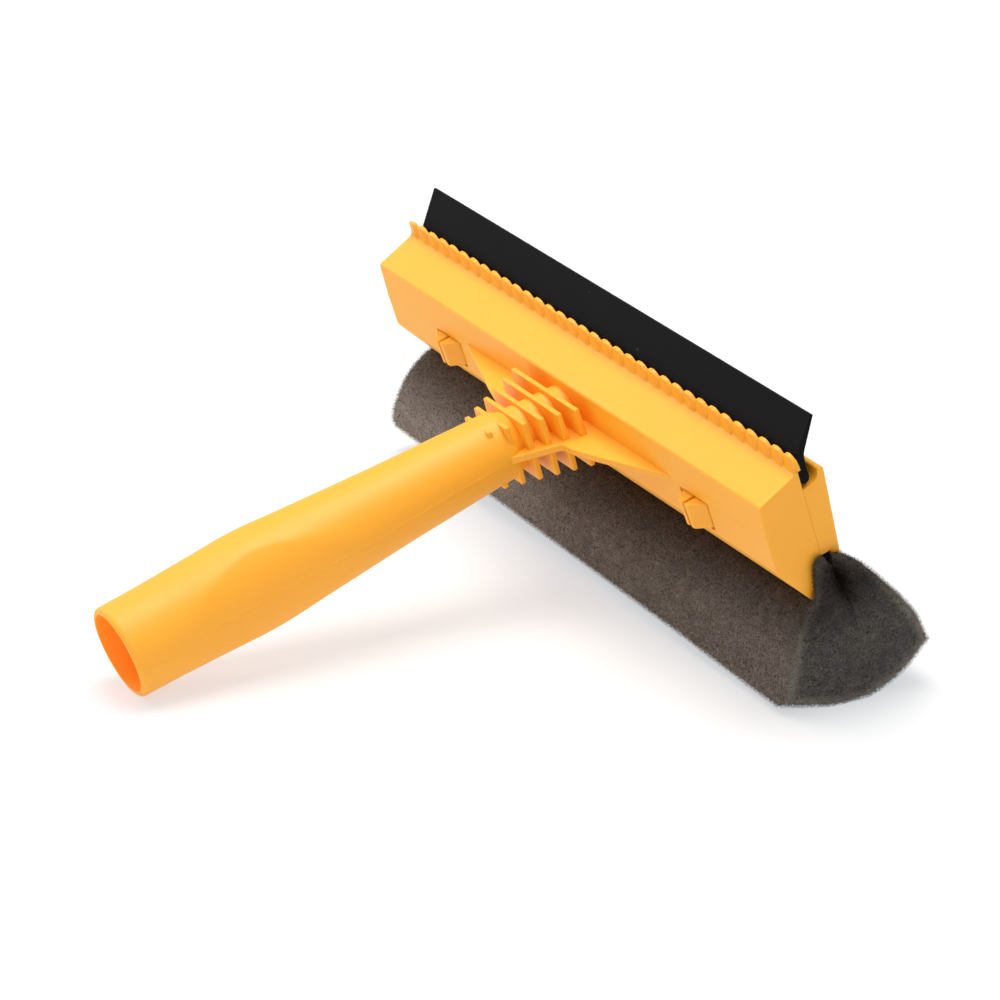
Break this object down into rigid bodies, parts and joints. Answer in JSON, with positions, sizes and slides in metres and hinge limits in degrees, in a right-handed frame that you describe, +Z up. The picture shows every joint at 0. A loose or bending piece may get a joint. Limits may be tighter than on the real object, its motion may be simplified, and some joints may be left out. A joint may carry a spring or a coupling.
{
  "type": "window cleaning squeegee",
  "caption": "Two-jaw window squeegee: a finned, hollow handle and a clip-on back jaw that grips a rubber blade above and a foam sponge below.",
  "frame": {"origin": "middle of the underside of the tool's box, on the floor it lies on", "axes": "+X along the head, +Y from the handle's end towards the head, +Z up; the tool lies as it rests on a floor, on its handle's end and its sponge"},
  "size_m": [0.256, 0.2362, 0.1056],
  "materials": {
    "orange_plastic": "fine satin moulding",
    "black_rubber": "matte",
    "grey_foam": "open-cell foam"
  },
  "bodies": {
    "handle_and_front_jaw": {"handle": "orange_plastic", "neck": "orange_plastic", "front_jaw": "orange_plastic"},
    "back_jaw": {"back_jaw": "orange_plastic"},
    "rubber_blade": {"rubber_blade": "black_rubber"},
    "sponge": {"sponge": "grey_foam"},
    "left_prong_1": {"left_prong_1": "orange_plastic"},
    "left_prong_2": {"left_prong_2": "orange_plastic"},
    "right_prong_1": {"right_prong_1": "orange_plastic"},
    "right_prong_2": {"right_prong_2": "orange_plastic"}
  },
  "joints": [
    {"name": "back_jaw_pull", "type": "slide", "parent": "handle_and_front_jaw", "child": "back_jaw", "axis": [0, 0.9553, 0.2957], "range_m": [0, 0.04]},
    {"name": "blade_draw", "type": "slide", "parent": "handle_and_front_jaw", "child": "rubber_blade", "axis": [1, 0, 0], "range_m": [0, 0.25]},
    {"name": "sponge_draw", "type": "slide", "parent": "handle_and_front_jaw", "child": "sponge", "axis": [1, 0, 0], "range_m": [0, 0.26]},
    {"name": "left_prong_1_squeeze", "type": "hinge", "parent": "back_jaw", "child": "left_prong_1", "pos_m": [-0.0825, 0.06875, 0.0651], "axis": [0, -0.2957, 0.9553], "range_deg": [0, 1.5], "stiffness_Nm_per_rad": 1.6},
    {"name": "left_prong_2_squeeze", "type": "hinge", "parent": "back_jaw", "child": "left_prong_2", "pos_m": [-0.0793, 0.06875, 0.0651], "axis": [0, 0.2957, -0.9553], "range_deg": [0, 1.5], "stiffness_Nm_per_rad": 1.6},
    {"name": "right_prong_1_squeeze", "type": "hinge", "parent": "back_jaw", "child": "right_prong_1", "pos_m": [0.0793, 0.06875, 0.0651], "axis": [0, -0.2957, 0.9553], "range_deg": [0, 1.5], "stiffness_Nm_per_rad": 1.6},
    {"name": "right_prong_2_squeeze", "type": "hinge", "parent": "back_jaw", "child": "right_prong_2", "pos_m": [0.0825, 0.06875, 0.0651], "axis": [0, 0.2957, -0.9553], "range_deg": [0, 1.5], "stiffness_Nm_per_rad": 1.6}
  ]
}
